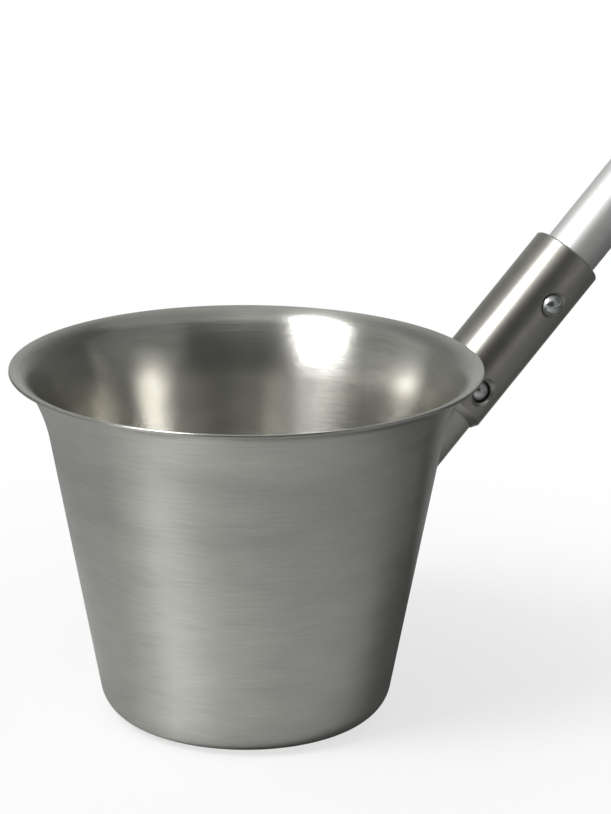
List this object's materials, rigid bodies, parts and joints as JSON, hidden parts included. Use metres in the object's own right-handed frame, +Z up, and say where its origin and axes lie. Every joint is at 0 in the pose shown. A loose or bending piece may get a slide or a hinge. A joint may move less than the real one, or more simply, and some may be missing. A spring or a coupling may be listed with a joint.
{
  "type": "sampling beaker",
  "caption": "Conical stainless steel beaker with a flared lip and a slanted welded stub; a coupling sleeve with sprung lock buttons joins it to the end of a round rod.",
  "frame": {"origin": "centre of the beaker's flat base, on the surface that it stands on", "axes": "+Z up along the beaker's axis, +X towards the arm, -Y the side that the lock buttons face"},
  "size_m": [0.2405, 0.1526, 0.1819],
  "materials": {
    "cup_steel": "satin, brushed round the axis",
    "stub_steel": "satin drawn tube",
    "weld_steel": "brushed weld",
    "sleeve_steel": "satin, turned",
    "button_steel": "polished",
    "spring_steel": "bright rolled strip",
    "rod_aluminium": "satin, clear anodised",
    "plug_plastic": "fine moulded texture"
  },
  "bodies": {
    "beaker": {"beaker_cup": "cup_steel", "mounting_stub": "stub_steel", "stub_weld_bead": "weld_steel", "coupling_sleeve": "sleeve_steel", "stub_snap_spring": "spring_steel", "rod_tube": "rod_aluminium", "rod_end_plug": "plug_plastic", "rod_snap_spring": "spring_steel"},
    "stub_button": {"stub_snap_button": "button_steel"},
    "rod_button": {"rod_snap_button": "button_steel"}
  },
  "joints": [
    {"name": "stub_button_press", "type": "slide", "parent": "beaker", "child": "stub_button", "axis": [0, 1, 0], "range_m": [0, 0.00165], "stiffness_N_per_m": 1500, "deforming": ["stub_snap_spring"]},
    {"name": "rod_button_press", "type": "slide", "parent": "beaker", "child": "rod_button", "axis": [0, 1, 0], "range_m": [0, 0.0045], "stiffness_N_per_m": 1500, "deforming": ["rod_snap_spring"]}
  ]
}
